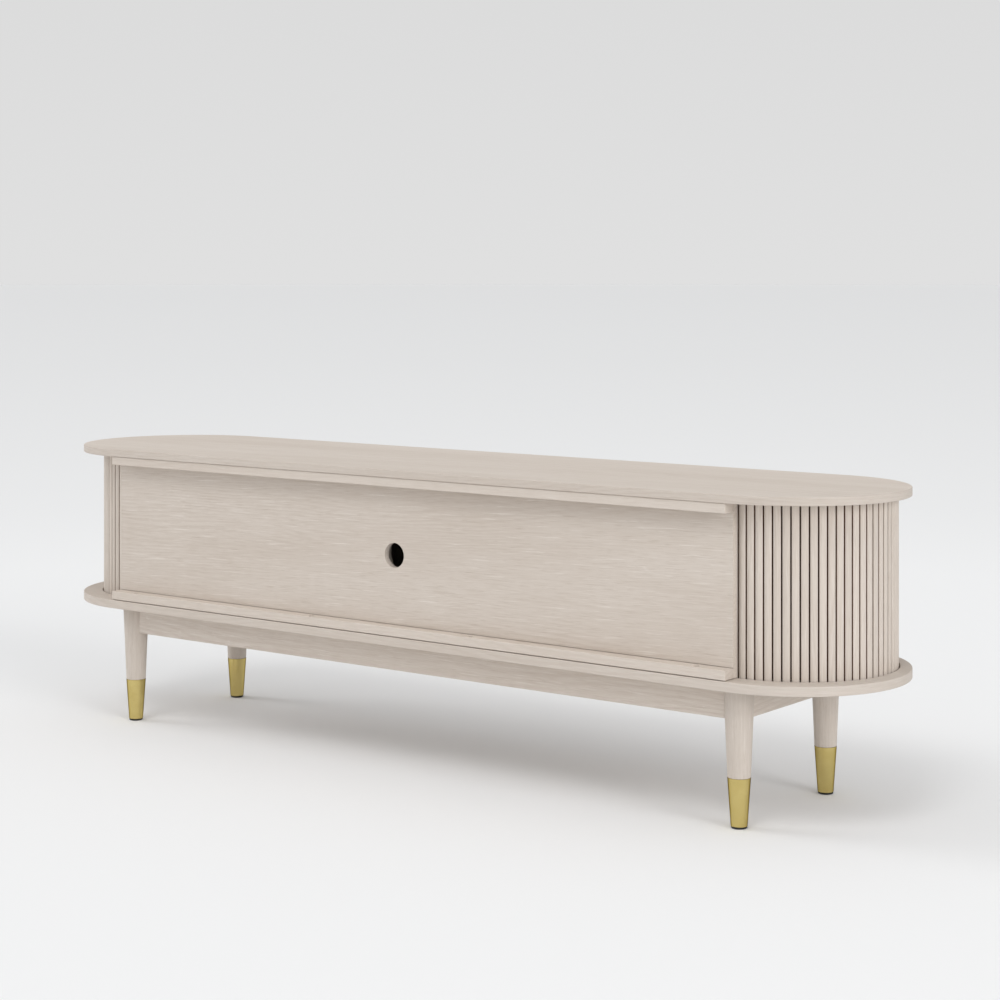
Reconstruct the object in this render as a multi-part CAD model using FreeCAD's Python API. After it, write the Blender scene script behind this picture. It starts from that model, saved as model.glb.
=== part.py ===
"""Media cabinet with two tambour doors, round ends and a four-legged underframe.

Millimetres, +Z up.  The origin is on the floor under the middle of the cabinet.
X runs along the length, the doors face -Y and the fixed rear panel faces +Y.
"""
import FreeCAD, Part
import math
import os

V = FreeCAD.Vector
X_AXIS = V(1, 0, 0)
Y_AXIS = V(0, 1, 0)
Z_AXIS = V(0, 0, 1)
SIDES = {"left": -1, "right": 1}
ENDS = {"front": -1, "rear": 1}

# ---- overall sizes -------------------------------------------------------
length = 1800.0
depth = 404.0
height = 538.0
underframe_height = 227.0
top_thickness = 14.0
base_thickness = 16.0
edge_round = 1.2

# ---- rear panel and its battens -------------------------------------------
batten_height = 16.0
batten_depth = 25.0
batten_setback = 2.0
batten_top_gap = 0.3
batten_base_gap = 1.2
batten_round = 1.0
panel_thickness = 12.0
panel_tail_clearance = 4.5
cable_hole_radius = 22.0
cable_pass_radius = 40.0

# ---- tambour doors ---------------------------------------------------------
front_reveal = 13.5
slat_thickness = 9.0
slat_width = 12.2
slat_gap = 1.75
rear_slat_shift = 1.7
slat_crown = 1.6
canvas_thickness = 0.8
canvas_edge_gap = 2.0
canvas_seat_gap = 0.05
groove_depth = 8.0
groove_outer_clearance = 2.3
groove_inner_clearance = 1.5
tongue_seat_gap = 0.3
tongue_end_clearance = 1.0
stile_width = 30.0
stile_thickness = 20.0
stile_shoulder_gap = 1.5
stile_round = 1.5
meeting_gap = 1.0
pull_width = 14.0
pull_depth = 10.0
pull_height = 110.0

# ---- inner carcass ---------------------------------------------------------
partition_thickness = 16.0
divider_thickness = 16.0
false_back_thickness = 9.0
tail_back_clearance = 4.0
end_curtain_clearance = 4.0
partition_curtain_gap = 2.0
stile_carcass_gap = 3.5
shelf_thickness = 12.0
shelf_end_gap = 0.8
shelf_back_gap = 0.8
shelf_front_setback = 12.0
shelf_pin_radius = 2.5
shelf_pin_length = 16.0
shelf_pin_inset = 40.0

# ---- underframe ------------------------------------------------------------
leg_end_setback = 8.0
leg_edge_setback = 59.0
leg_top_radius = 25.0
leg_joint_radius = 18.85
ferrule_top_height = 81.5
ferrule_top_radius = 18.95
ferrule_bottom_radius = 13.5
ferrule_wall = 1.2
ferrule_fit = 0.1
glide_height = 3.6
glide_radius = 13.2
glide_nail_radius = 1.5
glide_nail_length = 20.0
apron_thickness = 22.0
apron_height = 52.5
tenon_thickness = 12.0
tenon_height = 36.0
tenon_core = 11.0
joint_fit = 0.1
block_side = 60.0
block_height = 42.0

# ---- fasteners -------------------------------------------------------------
hole_fit = 0.05
dowel_radius = 4.0
dowel_length = 28.0
dowel_board_depth = 8.0
batten_screw_length = 22.0
batten_screw_recess = 3.0
batten_screw_edge = 10.0
batten_screw_end = 58.0
batten_screw_middle = 183.0
recess_radius = 5.2
panel_screw_end = 110.0
screw_radius = 2.0
screw_head_radius = 4.0
screw_head_height = 2.4
carcass_screw_length = 50.0
back_screw_length = 30.0
panel_screw_length = 28.0
block_screw_length = 50.0
bolt_radius = 3.0
bolt_root_depth = 4.0
bolt_clearance = 0.3
washer_radius = 7.0
washer_thickness = 1.2
nut_radius = 5.8
nut_height = 5.0
bolt_tip = 2.0

# ---- places worked out from the sizes above --------------------------------
edge_radius = depth / 2
half_straight = (length - depth) / 2
base_top = underframe_height + base_thickness
top_under = height - top_thickness
middle_height = (base_top + top_under) / 2

batten_rear_y = edge_radius - batten_setback
panel_rear_y = batten_rear_y - batten_depth
panel_inner_y = panel_rear_y - panel_thickness

curtain_rear_y = panel_inner_y - panel_tail_clearance
curtain_front_y = front_reveal - edge_radius
curtain_radius = (curtain_rear_y - curtain_front_y) / 2
curtain_y = (curtain_rear_y + curtain_front_y) / 2
canvas_radius = curtain_radius - slat_thickness
curtain_inner_radius = canvas_radius - canvas_thickness
groove_outer_radius = curtain_radius + groove_outer_clearance
groove_inner_radius = curtain_inner_radius - groove_inner_clearance
slat_low = base_top - groove_depth + tongue_seat_gap
slat_high = top_under + groove_depth - tongue_end_clearance
slat_pitch = slat_width + slat_gap
arc_slats = int(math.pi * canvas_radius / slat_pitch)
arc_step = 180.0 / arc_slats
arc_pitch = math.pi * canvas_radius / arc_slats
arc_shift = math.degrees(rear_slat_shift / canvas_radius)
tail_slat_x = half_straight - arc_pitch / 2 - rear_slat_shift
tail_length = arc_pitch + rear_slat_shift
stile_inner_x = meeting_gap / 2
stile_outer_x = stile_inner_x + stile_width
front_slats = int((half_straight - stile_outer_x) / slat_pitch)
front_pitch = (half_straight - stile_outer_x) / front_slats
stile_inner_y = curtain_front_y + stile_thickness

false_back_rear_y = curtain_y + curtain_inner_radius - tail_back_clearance
false_back_front_y = false_back_rear_y - false_back_thickness
partition_outer_x = half_straight - end_curtain_clearance
partition_inner_x = partition_outer_x - partition_thickness
partition_front_y = curtain_y - curtain_inner_radius + partition_curtain_gap
carcass_front_y = stile_inner_y + stile_carcass_gap
bay_width = (2 * partition_inner_x - 2 * divider_thickness) / 3
divider_inner_x = bay_width / 2
divider_outer_x = divider_inner_x + divider_thickness
shelf_front_y = carcass_front_y + shelf_front_setback
shelf_rear_y = false_back_front_y - shelf_back_gap

leg_x = half_straight - leg_end_setback
leg_y = edge_radius - leg_edge_setback
apron_low = underframe_height - apron_height
tenon_middle = underframe_height - apron_height / 2
leg_slope = (leg_top_radius - leg_joint_radius) / (underframe_height - ferrule_top_height)

nodes = {}


# ---- plain shapes ----------------------------------------------------------
def box(x0, x1, y0, y1, z0, z1):
    """A block between two corners, given in any order."""
    low = V(min(x0, x1), min(y0, y1), min(z0, z1))
    return Part.makeBox(abs(x1 - x0), abs(y1 - y0), abs(z1 - z0), low)


def rod(radius, start, direction, reach):
    """A round bar from a start point."""
    return Part.makeCylinder(radius, reach, start, direction)


def at_side(shape, side):
    """The shape as built for the right-hand side, or mirrored to the left."""
    return shape if side > 0 else shape.mirror(V(0, 0, 0), X_AXIS)


def racetrack(radius, centre_y, z0, z1):
    """A slab with two straight sides and two round ends."""
    low_y = centre_y - radius
    high_y = centre_y + radius
    points = {
        "a": V(-half_straight, low_y, z0),
        "b": V(half_straight, low_y, z0),
        "c": V(half_straight, high_y, z0),
        "d": V(-half_straight, high_y, z0),
        "right": V(half_straight + radius, centre_y, z0),
        "left": V(-half_straight - radius, centre_y, z0),
    }
    edges = [
        Part.LineSegment(points["a"], points["b"]).toShape(),
        Part.Arc(points["b"], points["right"], points["c"]).toShape(),
        Part.LineSegment(points["c"], points["d"]).toShape(),
        Part.Arc(points["d"], points["left"], points["a"]).toShape(),
    ]
    return Part.Face(Part.Wire(edges)).extrude(V(0, 0, z1 - z0))


def groove_ring(z0, z1):
    """The closed track that the doors run in."""
    outer = racetrack(groove_outer_radius, curtain_y, z0, z1)
    return outer.cut(racetrack(groove_inner_radius, curtain_y, z0, z1))


def turned(profile, x, y):
    """A turned piece from its half profile of radius and height pairs."""
    wire = Part.makePolygon([V(r, 0, z) for r, z in profile + profile[:1]])
    solid = Part.Face(wire).revolve(V(0, 0, 0), Z_AXIS, 360)
    solid.translate(V(x, y, 0))
    return solid


def upright_edges(shape):
    """The straight vertical edges of a shape."""
    found = []
    for edge in shape.Edges:
        ends = edge.Vertexes
        if len(ends) == 2 and abs(edge.tangentAt(edge.FirstParameter).z) > 0.999:
            found.append(edge)
    return found


# ---- fasteners -------------------------------------------------------------
def screw(start, direction, reach, extra=0.0):
    """A countersunk screw whose head face is at the start point."""
    shank = rod(screw_radius + extra, start, direction, reach + extra)
    head = Part.makeCone(
        screw_head_radius + extra, screw_radius + extra, screw_head_height, start, direction
    )
    return shank.fuse(head).removeSplitter()


def screw_set(places, reach):
    """Screws at (start, direction) places, and the holes that they need."""
    screws = [screw(start, direction, reach) for start, direction in places]
    holes = [screw(start, direction, reach, hole_fit) for start, direction in places]
    return screws, holes


def dowel_set(places, radius):
    """Dowels from (start, direction, reach) places, and their holes."""
    dowels = [rod(radius, start, way, reach) for start, way, reach in places]
    holes = []
    for start, way, reach in places:
        start_of_hole = start - way * hole_fit
        holes.append(rod(radius + hole_fit, start_of_hole, way, reach + 2 * hole_fit))
    return dowels, holes


def spread(low, high, count):
    """Evenly spaced values from low to high."""
    return [low + (high - low) * i / (count - 1) for i in range(count)]


partition_middles = [
    -(partition_outer_x + partition_inner_x) / 2,
    -(divider_inner_x + divider_outer_x) / 2,
    (divider_inner_x + divider_outer_x) / 2,
    (partition_outer_x + partition_inner_x) / 2,
]
partition_depths = spread(carcass_front_y + 45, false_back_front_y - 45, 3)

dowel_places = []
base_screw_places = []
for middle_x in partition_middles:
    for place_y in partition_depths:
        foot = V(middle_x, place_y, top_under - dowel_length + dowel_board_depth)
        dowel_places.append((foot, Z_AXIS, dowel_length))
        base_screw_places.append((V(middle_x, place_y, underframe_height), Z_AXIS))
partition_dowels, partition_dowel_holes = dowel_set(dowel_places, dowel_radius)
base_screws, base_screw_holes = screw_set(base_screw_places, carcass_screw_length)

back_screw_places = []
for middle_x in partition_middles:
    for place_z in spread(base_top + 40, top_under - 40, 3):
        back_screw_places.append((V(middle_x, false_back_rear_y, place_z), -Y_AXIS))
back_screws, back_screw_holes = screw_set(back_screw_places, back_screw_length)

batten_levels = {
    "top": (top_under - batten_top_gap - batten_height, top_under - batten_top_gap),
    "bottom": (base_top + batten_base_gap, base_top + batten_base_gap + batten_height),
}
panel_screw_places = []
for middle_x in spread(panel_screw_end - half_straight, half_straight - panel_screw_end, 7):
    for low, high in batten_levels.values():
        panel_screw_places.append((V(middle_x, panel_inner_y, (low + high) / 2), Y_AXIS))
panel_screws, panel_screw_holes = screw_set(panel_screw_places, panel_screw_length)

batten_screw_y = batten_rear_y - batten_screw_edge
batten_screw_x = [batten_screw_end - half_straight, -batten_screw_middle,
                  batten_screw_middle, half_straight - batten_screw_end]
batten_screw_places = []
batten_recesses = []
for middle_x in batten_screw_x:
    for face_z, way in ((batten_levels["top"][0], Z_AXIS), (batten_levels["bottom"][1], -Z_AXIS)):
        face = V(middle_x, batten_screw_y, face_z)
        batten_screw_places.append((face + way * batten_screw_recess, way))
        batten_recesses.append(rod(recess_radius, face, way, batten_screw_recess))
batten_screws, batten_screw_holes = screw_set(batten_screw_places, batten_screw_length)


# ---- boards ----------------------------------------------------------------
def rounded_board(z0, z1):
    """A racetrack board with softened upper and lower edges."""
    board = racetrack(edge_radius, 0.0, z0, z1)
    rim = [e for e in board.Edges if abs(e.tangentAt(e.FirstParameter).z) < 0.5]
    return board.makeFillet(edge_round, rim)


def build_boards():
    """The top and the base, each with the door groove and its fastener holes."""
    top = rounded_board(top_under, height)
    top = top.cut(groove_ring(top_under, top_under + groove_depth))
    nodes["top_board"] = top.cut(partition_dowel_holes + batten_screw_holes)
    base = rounded_board(underframe_height, base_top)
    base = base.cut(groove_ring(base_top - groove_depth, base_top))
    block_holes = [hole for places in block_screw_holes.values() for hole in places]
    nodes["base_board"] = base.cut(base_screw_holes + batten_screw_holes + block_holes)


def build_rear():
    """The rear panel with its cable hole, and the two battens that carry it."""
    low = base_top + batten_base_gap
    panel = box(-half_straight, half_straight, panel_inner_y, panel_rear_y, low, top_under)
    hole_start = V(0, panel_inner_y, middle_height)
    panel = panel.cut(rod(cable_hole_radius, hole_start, Y_AXIS, panel_thickness))
    nodes["rear_panel"] = panel.cut(panel_screw_holes)
    batten_drilled = panel_screw_holes + batten_screw_holes + batten_recesses
    for level, (z0, z1) in batten_levels.items():
        batten = box(-half_straight, half_straight, panel_rear_y, batten_rear_y, z0, z1)
        outer = []
        for edge in batten.Edges:
            if all(abs(v.Y - batten_rear_y) < 1e-6 for v in edge.Vertexes):
                outer.append(edge)
        batten = batten.makeFillet(batten_round, outer)
        nodes["rear_" + level + "_batten"] = batten.cut(batten_drilled)


# ---- carcass ---------------------------------------------------------------
def shelf_pin_holes_at(face_x, way):
    """Pins at the four corners of a shelf, on one upright face."""
    places = []
    for place_y in (shelf_front_y + shelf_pin_inset, shelf_rear_y - shelf_pin_inset):
        start = V(face_x - way * shelf_pin_length / 2, place_y, middle_height - shelf_pin_radius)
        places.append((start, X_AXIS * way, shelf_pin_length))
    return places


def build_carcass():
    """The end partitions, the dividers, the false back and the two shelves."""
    drilled = partition_dowel_holes + base_screw_holes + back_screw_holes
    pin_places = []
    for side in SIDES.values():
        pin_places += shelf_pin_holes_at(side * partition_inner_x, -side)
        pin_places += shelf_pin_holes_at(side * divider_outer_x, side)
    pins, pin_holes = dowel_set(pin_places, shelf_pin_radius)
    for name, side in SIDES.items():
        end = box(side * partition_inner_x, side * partition_outer_x,
                  partition_front_y, false_back_front_y, base_top, top_under)
        nodes[name + "_end_partition"] = end.cut(drilled + pin_holes)
        divider = box(side * divider_inner_x, side * divider_outer_x,
                      carcass_front_y, false_back_front_y, base_top, top_under)
        nodes[name + "_divider"] = divider.cut(drilled + pin_holes)
        nodes[name + "_shelf"] = box(side * (divider_outer_x + shelf_end_gap),
                                     side * (partition_inner_x - shelf_end_gap),
                                     shelf_front_y, shelf_rear_y,
                                     middle_height, middle_height + shelf_thickness)
    nodes["shelf_pins"] = Part.makeCompound(pins)
    back = box(-partition_outer_x, partition_outer_x,
               false_back_front_y, false_back_rear_y, base_top, top_under)
    pass_start = V(0, false_back_front_y, middle_height)
    back = back.cut(rod(cable_pass_radius, pass_start, Y_AXIS, false_back_thickness))
    nodes["false_back"] = back.cut(back_screw_holes)


# ---- tambour doors ---------------------------------------------------------
def slat():
    """One upright slat with a flat back on Y = 0 and a crowned face towards -Y."""
    half = slat_width / 2
    shoulder = slat_crown - slat_thickness
    corners = [V(-half, 0, slat_low), V(half, 0, slat_low)]
    face_edges = [
        Part.LineSegment(corners[0], corners[1]).toShape(),
        Part.LineSegment(corners[1], V(half, shoulder, slat_low)).toShape(),
        Part.Arc(V(half, shoulder, slat_low), V(0, -slat_thickness, slat_low),
                 V(-half, shoulder, slat_low)).toShape(),
        Part.LineSegment(V(-half, shoulder, slat_low), corners[0]).toShape(),
    ]
    return Part.Face(Part.Wire(face_edges)).extrude(V(0, 0, slat_high - slat_low))


def front_curtain():
    """The straight run of slats between the lead stile and the round end."""
    slats = []
    for i in range(front_slats):
        piece = slat()
        piece.translate(V(stile_outer_x + (i + 0.5) * front_pitch, curtain_y - canvas_radius, 0))
        slats.append(piece)
    front = curtain_y - canvas_radius + canvas_seat_gap
    canvas = box(stile_outer_x, half_straight, front, front + canvas_thickness - canvas_seat_gap,
                 base_top + canvas_edge_gap, top_under - canvas_edge_gap)
    return slats, canvas


def end_curtain():
    """The slats round one end, and the tail slat that stands behind the rear panel's end."""
    slats = []
    for i in range(arc_slats):
        piece = slat()
        piece.translate(V(0, -canvas_radius, 0))
        turn = arc_shift * min(1.0, i / (arc_slats / 4))
        piece.rotate(V(0, 0, 0), Z_AXIS, (i + 0.5) * arc_step + turn)
        piece.translate(V(half_straight, curtain_y, 0))
        slats.append(piece)
    tail = slat()
    tail.rotate(V(0, 0, 0), Z_AXIS, 180)
    tail.translate(V(tail_slat_x, curtain_y + canvas_radius, 0))
    slats.append(tail)
    low = base_top + canvas_edge_gap
    high = top_under - canvas_edge_gap
    centre = V(half_straight, curtain_y, low)
    outer = Part.makeCylinder(canvas_radius - canvas_seat_gap, high - low, centre, Z_AXIS, 180)
    inner = Part.makeCylinder(curtain_inner_radius, high - low, centre, Z_AXIS, 180)
    canvas = outer.cut(inner)
    canvas.rotate(centre, Z_AXIS, -90)
    tail_canvas = box(half_straight - tail_length, half_straight, curtain_y + curtain_inner_radius,
                      curtain_y + canvas_radius - canvas_seat_gap, low, high)
    return slats, canvas.fuse(tail_canvas).removeSplitter()


def lead_stile():
    """The thick leading edge of a door, with its tongues and finger recess."""
    back_y = curtain_y - curtain_inner_radius
    body = box(stile_inner_x, stile_outer_x, curtain_front_y, stile_inner_y,
               base_top + stile_shoulder_gap, top_under - stile_shoulder_gap)
    body = body.makeFillet(stile_round, upright_edges(body))
    tongue = box(stile_inner_x + stile_round, stile_outer_x - stile_round,
                 curtain_front_y + stile_round, back_y, slat_low, slat_high)
    middle_x = (stile_inner_x + stile_outer_x) / 2
    half_pull = pull_height / 2 - pull_width / 2
    recess = box(middle_x - pull_width / 2, middle_x + pull_width / 2,
                 curtain_front_y, curtain_front_y + pull_depth,
                 middle_height - half_pull, middle_height + half_pull)
    for end in (-half_pull, half_pull):
        start = V(middle_x, curtain_front_y, middle_height + end)
        recess = recess.fuse(rod(pull_width / 2, start, Y_AXIS, pull_depth))
    return body.fuse(tongue).removeSplitter().cut(recess)


def build_doors():
    """Both doors: stile, straight slats and canvas, round end and its canvas."""
    straight, straight_canvas = front_curtain()
    curved, curved_canvas = end_curtain()
    stile = lead_stile()
    for name, side in SIDES.items():
        nodes[name + "_front_slats"] = Part.makeCompound([at_side(s, side) for s in straight])
        nodes[name + "_front_canvas"] = at_side(straight_canvas, side)
        nodes[name + "_end_slats"] = Part.makeCompound([at_side(s, side) for s in curved])
        nodes[name + "_end_canvas"] = at_side(curved_canvas, side)
        nodes[name + "_lead_stile"] = at_side(stile, side)


# ---- underframe ------------------------------------------------------------
def leg_radius(z, extra=0.0):
    """The leg's radius at a height above the floor."""
    return leg_joint_radius + extra + leg_slope * (z - ferrule_top_height)


def leg_blank(x, y, extra=0.0):
    """The tapered wooden part of a leg above its ferrule."""
    bottom = leg_radius(ferrule_top_height, extra)
    top = leg_radius(underframe_height, extra)
    return turned([(0, ferrule_top_height), (bottom, ferrule_top_height),
                   (top, underframe_height), (0, underframe_height)], x, y)


def leg_spigot(x, y):
    """The wooden core that fills the ferrule."""
    top = ferrule_top_radius - ferrule_wall - ferrule_fit
    bottom = ferrule_bottom_radius - ferrule_wall - ferrule_fit
    foot = glide_height + ferrule_wall + ferrule_fit
    return turned([(0, foot), (bottom, foot), (top, ferrule_top_height),
                   (0, ferrule_top_height)], x, y)


def ferrule(x, y):
    """A brass cup with a tapered wall and a flat foot with a nail hole."""
    foot = glide_height + ferrule_wall
    nail = glide_nail_radius + hole_fit
    return turned([(nail, glide_height), (ferrule_bottom_radius, glide_height),
                   (ferrule_top_radius, ferrule_top_height - ferrule_fit),
                   (ferrule_top_radius - ferrule_wall, ferrule_top_height - ferrule_fit),
                   (ferrule_bottom_radius - ferrule_wall, foot), (nail, foot)], x, y)


def tenon(axis_x, axis_y, way, extra=0.0):
    """The tenon that enters a leg, running along the given direction from its core."""
    near = tenon_core - (1.0 if extra else 0.0)
    half_thick = tenon_thickness / 2 + extra
    half_tall = tenon_height / 2 + extra
    reach = leg_top_radius + apron_thickness
    z0 = tenon_middle - half_tall
    z1 = tenon_middle + half_tall
    if way.x:
        return box(axis_x + way.x * near, axis_x + way.x * reach,
                   axis_y - half_thick, axis_y + half_thick, z0, z1)
    return box(axis_x - half_thick, axis_x + half_thick,
               axis_y + way.y * near, axis_y + way.y * reach, z0, z1)


def bolt_line(side, end):
    """Where a hanger bolt starts in a leg, and which way it points."""
    way = V(-side, -end, 0).normalize()
    return V(side * leg_x, end * leg_y, tenon_middle), way


block_face = ((apron_thickness / 2) * 2 + block_side) / math.sqrt(2)
bolt_length = block_face + washer_thickness + nut_height + bolt_tip - bolt_root_depth

block_screw_holes = {}
block_screws = []
for corner_side in SIDES.values():
    for corner_end in ENDS.values():
        corner_x = corner_side * (leg_x - apron_thickness / 2)
        corner_y = corner_end * (leg_y - apron_thickness / 2)
        head_z = underframe_height - block_height
        starts = [
            V(corner_x - corner_side * 38, corner_y - corner_end * 9, head_z),
            V(corner_x - corner_side * 9, corner_y - corner_end * 38, head_z),
        ]
        made, holes = screw_set([(start, Z_AXIS) for start in starts], block_screw_length)
        block_screws += made
        block_screw_holes[(corner_side, corner_end)] = holes


def corner_block(side, end):
    """A triangular block in the corner of the aprons, coped round the leg."""
    corner_x = side * (leg_x - apron_thickness / 2)
    corner_y = end * (leg_y - apron_thickness / 2)
    low = underframe_height - block_height
    points = [V(corner_x, corner_y, low), V(corner_x - side * block_side, corner_y, low),
              V(corner_x, corner_y - end * block_side, low), V(corner_x, corner_y, low)]
    block = Part.Face(Part.makePolygon(points)).extrude(V(0, 0, block_height))
    block = block.cut(leg_blank(side * leg_x, end * leg_y, joint_fit))
    start, way = bolt_line(side, end)
    block = block.cut(rod(bolt_radius + bolt_clearance, start, way, block_face + 1))
    return block.cut(block_screw_holes[(side, end)])


def build_legs():
    """Legs, ferrules, glides, nails, corner blocks, hanger bolts and nuts."""
    nails, bolts, washers, nuts = [], [], [], []
    for side_name, side in SIDES.items():
        for end_name, end in ENDS.items():
            x, y = side * leg_x, end * leg_y
            corner = end_name + "_" + side_name
            start, way = bolt_line(side, end)
            leg = leg_blank(x, y).fuse(leg_spigot(x, y)).removeSplitter()
            leg = leg.cut([tenon(x, y, V(-side, 0, 0), joint_fit),
                           tenon(x, y, V(0, -end, 0), joint_fit)])
            root = start + way * bolt_root_depth
            leg = leg.cut(rod(bolt_radius + hole_fit, root, way, bolt_length))
            nail_hole = glide_nail_length + glide_height / 2
            leg = leg.cut(rod(glide_nail_radius + hole_fit, V(x, y, 0), Z_AXIS, nail_hole))
            nodes["leg_" + corner] = leg
            nodes["ferrule_" + corner] = ferrule(x, y)
            glide = turned([(0, 0), (glide_radius, 0), (glide_radius, glide_height),
                            (0, glide_height)], x, y)
            nail_start = V(x, y, glide_height / 2)
            nail = rod(glide_nail_radius, nail_start, Z_AXIS, glide_nail_length)
            nodes["glide_" + corner] = glide.cut(nail)
            nails.append(nail)
            nodes["corner_block_" + corner] = corner_block(side, end)
            bolts.append(rod(bolt_radius, root, way, bolt_length))
            face = start + way * block_face
            hollow = rod(bolt_radius + hole_fit, start, way, 2 * block_face)
            washers.append(rod(washer_radius, face, way, washer_thickness).cut(hollow))
            nuts.append(hex_nut(face + way * washer_thickness, way).cut(hollow))
    nodes["glide_nails"] = Part.makeCompound(nails)
    nodes["hanger_bolts"] = Part.makeCompound(bolts)
    nodes["bolt_washers"] = Part.makeCompound(washers)
    nodes["bolt_nuts"] = Part.makeCompound(nuts)


def hex_nut(start, way):
    """A six-sided nut blank on the given line."""
    across = V(0, 0, 1)
    other = way.cross(across)
    points = []
    for i in range(7):
        angle = math.radians(60 * i)
        points.append(start + across * (nut_radius * math.cos(angle))
                      + other * (nut_radius * math.sin(angle)))
    return Part.Face(Part.makePolygon(points)).extrude(way * nut_height)


def build_aprons():
    """Four rails with coped shoulders and a tenon in each leg."""
    legs = [leg_blank(sx * leg_x, sy * leg_y, joint_fit)
            for sx in SIDES.values() for sy in ENDS.values()]
    half = apron_thickness / 2
    for name, end in ENDS.items():
        y = end * leg_y
        rail = box(-leg_x, leg_x, y - half, y + half, apron_low, underframe_height).cut(legs)
        for side in SIDES.values():
            rail = rail.fuse(tenon(side * leg_x, y, V(-side, 0, 0)))
        nodes[name + "_apron"] = rail.removeSplitter()
    for name, side in SIDES.items():
        x = side * leg_x
        rail = box(x - half, x + half, -leg_y, leg_y, apron_low, underframe_height).cut(legs)
        for end in ENDS.values():
            rail = rail.fuse(tenon(x, end * leg_y, V(0, -end, 0)))
        nodes[name + "_apron"] = rail.removeSplitter()


def build_fasteners():
    """Dowels and screws, one node for each kind."""
    nodes["partition_dowels"] = Part.makeCompound(partition_dowels)
    nodes["partition_screws"] = Part.makeCompound(base_screws)
    nodes["false_back_screws"] = Part.makeCompound(back_screws)
    nodes["panel_screws"] = Part.makeCompound(panel_screws)
    nodes["batten_screws"] = Part.makeCompound(batten_screws)
    nodes["corner_block_screws"] = Part.makeCompound(block_screws)


build_boards()
build_rear()
build_carcass()
build_doors()
build_legs()
build_aprons()
build_fasteners()

os.makedirs("parts", exist_ok=True)
for node_name, shape in nodes.items():
    shape.exportStep("parts/" + node_name + ".step")
    bounds = shape.BoundBox
    print(node_name, len(shape.Solids), "solids, valid" if shape.isValid() else "solids, INVALID",
          "x %.1f..%.1f y %.1f..%.1f z %.1f..%.1f" % (
              bounds.XMin, bounds.XMax, bounds.YMin, bounds.YMax, bounds.ZMin, bounds.ZMax))
print(len(nodes), "nodes, front slats", front_slats, "round end slats", arc_slats)
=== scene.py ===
"""Looks of the media cabinet: pale oak, slatted tambour ends, brass-tipped legs.

Everything is in metres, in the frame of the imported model: +Z up, doors at -Y, rear panel at +Y.
"""
import math
import random

import bmesh
import bpy
from mathutils import Matrix, Vector


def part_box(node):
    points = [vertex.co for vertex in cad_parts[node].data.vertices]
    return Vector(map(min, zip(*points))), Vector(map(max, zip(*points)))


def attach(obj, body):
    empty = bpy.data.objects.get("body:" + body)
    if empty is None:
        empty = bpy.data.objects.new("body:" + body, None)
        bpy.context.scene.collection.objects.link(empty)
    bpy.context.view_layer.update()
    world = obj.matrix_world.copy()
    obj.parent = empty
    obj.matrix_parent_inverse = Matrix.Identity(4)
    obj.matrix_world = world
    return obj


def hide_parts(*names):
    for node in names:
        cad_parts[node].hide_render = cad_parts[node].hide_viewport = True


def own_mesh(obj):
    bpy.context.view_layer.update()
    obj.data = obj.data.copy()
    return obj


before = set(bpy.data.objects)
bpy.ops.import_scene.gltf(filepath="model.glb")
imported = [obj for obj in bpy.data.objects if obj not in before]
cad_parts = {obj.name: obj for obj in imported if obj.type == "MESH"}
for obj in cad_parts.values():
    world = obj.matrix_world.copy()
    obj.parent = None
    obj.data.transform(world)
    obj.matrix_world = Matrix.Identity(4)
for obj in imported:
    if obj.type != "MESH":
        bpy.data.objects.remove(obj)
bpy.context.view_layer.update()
MM = 0.001
SIDES = {"left": -1, "right": 1}
CORNERS = [end + "_" + side for end in ("front", "rear") for side in SIDES]


# ---- places read from the frame, and sizes ---------------------------------
top_low, top_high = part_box("top_board")
base_low, base_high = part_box("base_board")
panel_low, panel_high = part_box("rear_panel")
curtain_low, curtain_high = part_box("right_end_slats")
canvas_low, canvas_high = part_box("right_end_canvas")
curtain_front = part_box("right_front_slats")[0].y
stile_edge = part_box("right_lead_stile")[1].x

# Outline of the boards, and of the slats' outer faces inside it.
edge_radius = top_high.y
half_straight = top_high.x - edge_radius
curtain_radius = (curtain_high.y - curtain_front) / 2
curtain_y = (curtain_high.y + curtain_front) / 2
straight_run = half_straight - stile_edge

# Slats: their number round an end and in a door's straight run, and their section.
slat_count = 37
front_count = 47
slat_width = 12.2 * MM
slat_depth = 9.0 * MM
slat_shoulder = 7.4 * MM
slat_corner = 0.9 * MM
slat_back_soft = 0.4 * MM
slat_end_band = 20 * MM
canvas_radius = curtain_radius - slat_depth
canvas_outer = canvas_high.x - half_straight

# Boards and the doors' groove in them.
board_round = 1.2 * MM
groove_depth = 8 * MM
groove_clearance = 2.3 * MM
groove_outer = curtain_radius + groove_clearance
groove_inner = canvas_radius - groove_clearance
groove_soft = 0.4 * MM

# Rear panel, its cable hole, and the dark slit over the bottom batten.
hole_radius = 22 * MM
panel_soft = 0.7 * MM
slit_height = 1.0 * MM
slit_depth = 2.5 * MM

# Battens and the bores of their screws.
batten_round = 1.0 * MM
batten_bore = 5.2 * MM
batten_recess = 3.0 * MM
batten_screw_inset = 15.0 * MM
batten_screw_x = (half_straight - 58 * MM, 183 * MM)

# Legs: radius at the foot, the joint of wood and brass, and the glides' (inset, rise) profile.
foot_radius = 13.5 * MM
joint_step = 0.1 * MM
tenon_inset = 1.4 * MM
wood_soft = 0.5 * MM
brass_rim = 0.3 * MM
brass_wall = 0.9 * MM
brass_floor = 3 * MM
glide_foot = [(2.4 * MM, 0.0), (1.2 * MM, 0.4 * MM), (0.3 * MM, 1.4 * MM)]
glide_top = [(0.0, 0.6 * MM), (0.3 * MM, 0.0)]


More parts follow.
